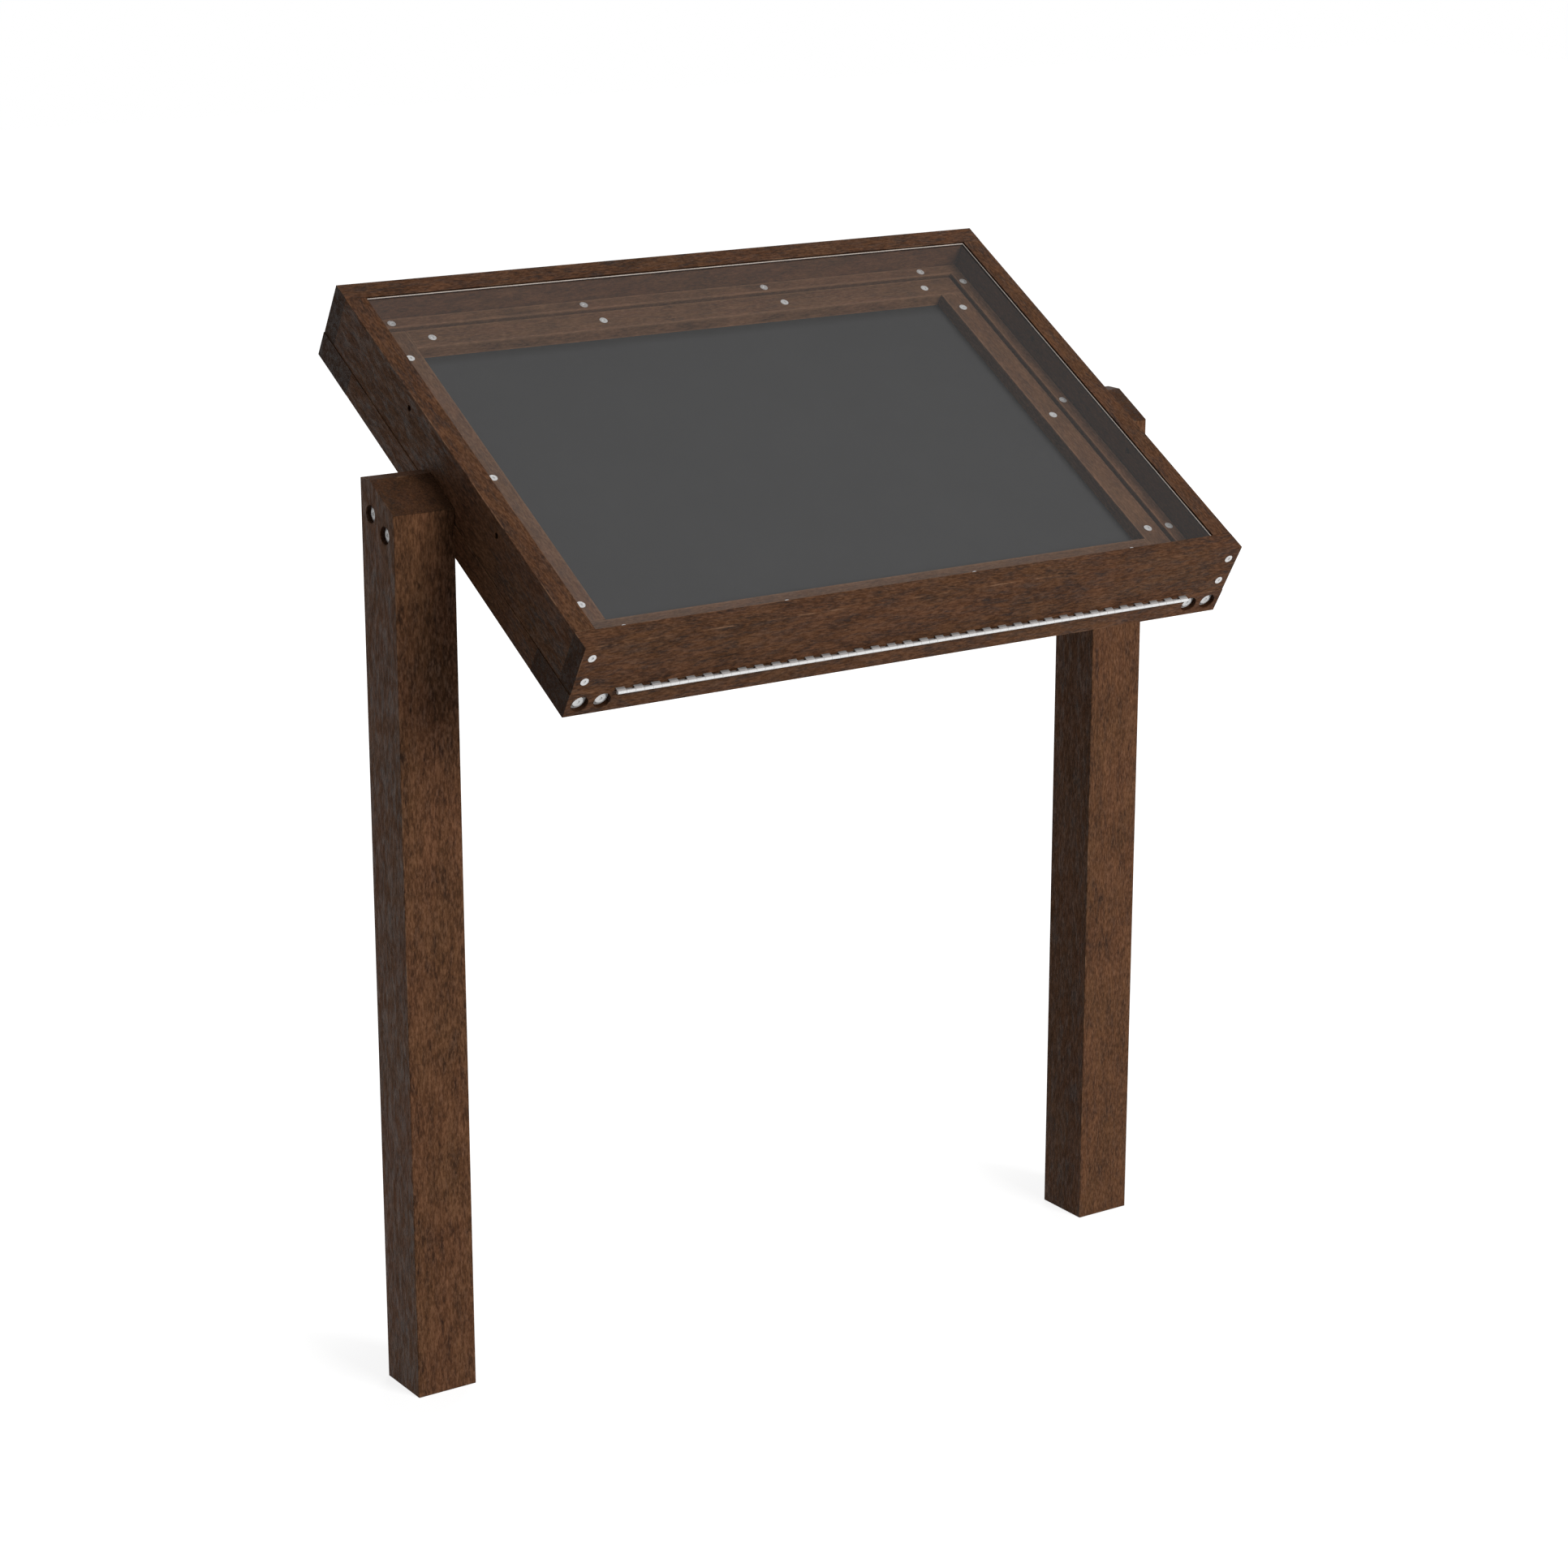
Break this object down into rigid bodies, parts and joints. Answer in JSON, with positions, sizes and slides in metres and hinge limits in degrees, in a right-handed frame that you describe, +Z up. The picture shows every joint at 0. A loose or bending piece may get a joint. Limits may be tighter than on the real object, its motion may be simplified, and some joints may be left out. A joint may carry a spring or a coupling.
{
  "type": "notice board",
  "caption": "Sloping outdoor notice board: a shallow glazed case with a lid on a continuous hinge, held at reading slope between square posts.",
  "frame": {"origin": "on the ground, midway between the posts and midway between the outermost front and back edges of the case", "axes": "+X from the left post to the right post, +Y away from the reader, towards the case's high back edge, +Z up"},
  "size_m": [1.168, 0.661, 1.4003],
  "materials": {
    "lumber": "brown recycled plastic lumber, brushed wood grain along each piece",
    "steel": "satin stainless",
    "pinboard": "dark grey felt",
    "backing": "matte dark grey sheet",
    "pane": "clear"
  },
  "bodies": {
    "stand": {"left_post": "lumber", "right_post": "lumber", "base_front_plank": "lumber", "base_back_plank": "lumber", "base_left_rail": "lumber", "base_right_rail": "lumber", "backing_sheet": "backing", "pinboard": "pinboard", "upstand_front": "lumber", "upstand_right": "lumber", "upstand_back": "lumber", "upstand_left": "lumber", "batten_front": "lumber", "batten_right": "lumber", "batten_back": "lumber", "batten_left": "lumber", "hinge_base_leaf": "steel", "hinge_pin": "steel", "hinge_base_screws": "steel", "base_corner_screws": "steel", "base_corner_washers": "steel", "upstand_screws": "steel", "batten_screws": "steel", "post_bolts": "steel", "post_bolt_washers": "steel"},
    "lid": {"lid_front_board": "lumber", "lid_back_board": "lumber", "lid_left_board": "lumber", "lid_right_board": "lumber", "pane": "pane", "hinge_lid_leaf": "steel", "hinge_lid_screws": "steel", "lid_corner_screws": "steel"}
  },
  "joints": [
    {"name": "lid_hinge", "type": "hinge", "parent": "stand", "child": "lid", "pos_m": [0, -0.29745, 0.98151], "axis": [1, 0, 0], "range_deg": [0, 195]}
  ]
}
